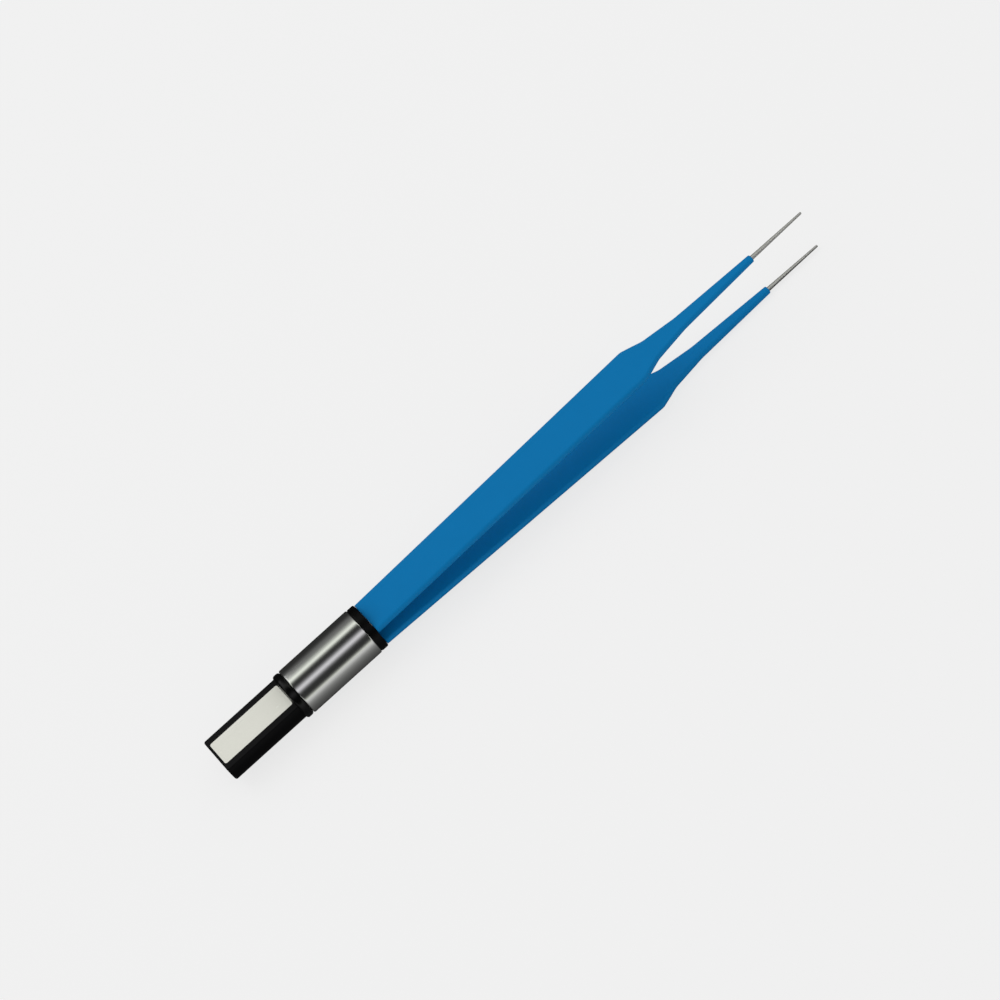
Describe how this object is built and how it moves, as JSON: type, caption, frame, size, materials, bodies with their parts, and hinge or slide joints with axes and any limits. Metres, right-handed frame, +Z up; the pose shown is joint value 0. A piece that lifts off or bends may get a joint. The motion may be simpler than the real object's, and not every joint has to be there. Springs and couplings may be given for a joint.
{
  "type": "bipolar forceps",
  "caption": "Straight bipolar forceps with slim needle tips, blue insulated spring arms and a flat plug.",
  "frame": {"origin": "centre of the bounding box's bottom face, on the surface that the forceps lies on", "axes": "+X from the plug towards the tips, +Y across the blades, +Z up from the surface; the instrument's own axis is pitched by under one degree, because it lies on the ferrule's rear rim and the lower arm's shoulder"},
  "size_m": [0.1318, 0.009, 0.0114],
  "materials": {
    "polished_steel": "polished",
    "spring_steel": "satin",
    "contact_steel": "satin",
    "plug_plastic": "fine satin moulding",
    "ring_plastic": "smooth",
    "seal_rubber": "smooth",
    "blue_nylon": "semi-gloss dipped coating",
    "liner_plastic": "natural",
    "sealing_resin": "cured resin"
  },
  "bodies": {
    "handle": {"ferrule": "polished_steel", "plug_body": "plug_plastic", "rear_collar": "seal_rubber", "liner_sleeve": "liner_plastic", "front_bush": "ring_plastic", "tang_spacer": "liner_plastic", "resin_seal": "sealing_resin", "contact_strip_upper": "contact_steel", "contact_strip_lower": "contact_steel"},
    "arm_upper": {"blade_upper": "spring_steel", "arm_skin_upper": "blue_nylon"},
    "arm_lower": {"blade_lower": "spring_steel", "arm_skin_lower": "blue_nylon"}
  },
  "joints": [
    {"name": "upper_arm_flex", "type": "hinge", "parent": "handle", "child": "arm_upper", "pos_m": [-0.03332, 0, 0.00679], "axis": [0, 1, 0], "range_deg": [0, 2.9], "stiffness_Nm_per_rad": 1},
    {"name": "lower_arm_flex", "type": "hinge", "parent": "handle", "child": "arm_lower", "pos_m": [-0.03327, 0, 0.00259], "axis": [0, -1, 0], "range_deg": [0, 2.9], "stiffness_Nm_per_rad": 1}
  ]
}
